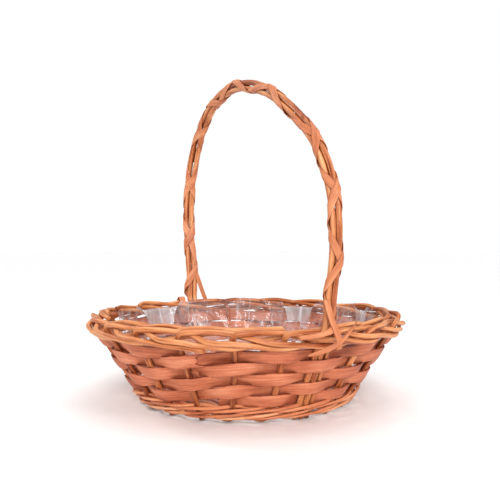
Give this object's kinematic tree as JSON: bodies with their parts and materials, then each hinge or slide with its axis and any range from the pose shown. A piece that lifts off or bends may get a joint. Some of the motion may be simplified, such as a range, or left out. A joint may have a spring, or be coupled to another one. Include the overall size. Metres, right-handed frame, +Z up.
{
  "type": "woven basket",
  "caption": "Round flaring basket of flat wood chip woven on willow stakes, with a rolled border, a wrapped hoop handle over the middle and a clear film liner.",
  "frame": {"origin": "middle of the base, on the plane that the basket stands on", "axes": "+Z up; the hoop handle stands in the YZ plane; X is across the handle"},
  "size_m": [0.3787, 0.4105, 0.3937],
  "materials": {
    "stained_willow": "satin",
    "stained_base_stick": "satin",
    "stained_chip": "satin",
    "clear_film": "gloss"
  },
  "bodies": {
    "basket": {"base_stick_pierced_1": "stained_base_stick", "base_stick_pierced_2": "stained_base_stick", "base_stick_pierced_3": "stained_base_stick", "base_stick_threaded_1": "stained_base_stick", "base_stick_threaded_2": "stained_base_stick", "base_stick_threaded_3": "stained_base_stick", "base_weave_1": "stained_willow", "base_weave_2": "stained_willow", "base_weave_3": "stained_willow", "base_weave_4": "stained_willow", "foot_wale_rod_1": "stained_willow", "foot_wale_rod_2": "stained_willow", "foot_wale_rod_3": "stained_willow", "foot_wale_rod_4": "stained_willow", "side_stake_01": "stained_willow", "side_stake_02": "stained_willow", "side_stake_03": "stained_willow", "side_stake_04": "stained_willow", "side_stake_05": "stained_willow", "side_stake_06": "stained_willow", "side_stake_07": "stained_willow", "side_stake_08": "stained_willow", "side_stake_09": "stained_willow", "side_stake_10": "stained_willow", "side_stake_11": "stained_willow", "side_stake_12": "stained_willow", "side_stake_13": "stained_willow", "side_stake_14": "stained_willow", "side_stake_15": "stained_willow", "side_stake_16": "stained_willow", "side_stake_17": "stained_willow", "side_stake_18": "stained_willow", "side_stake_19": "stained_willow", "side_stake_20": "stained_willow", "side_stake_21": "stained_willow", "woven_chip_1": "stained_chip", "woven_chip_2": "stained_chip", "woven_chip_3": "stained_chip", "woven_chip_4": "stained_chip", "woven_chip_5": "stained_chip", "handle_rod_left": "stained_willow", "handle_rod_right": "stained_willow", "handle_wrap_under": "stained_chip", "handle_wrap_over": "stained_chip", "foot_tie_near": "stained_chip", "foot_tie_far": "stained_chip"},
    "liner": {"liner_film": "clear_film"}
  },
  "joints": [
    {"name": "liner_lift", "type": "slide", "parent": "basket", "child": "liner", "axis": [0, 0, 1], "range_m": [0, 0.12]}
  ]
}
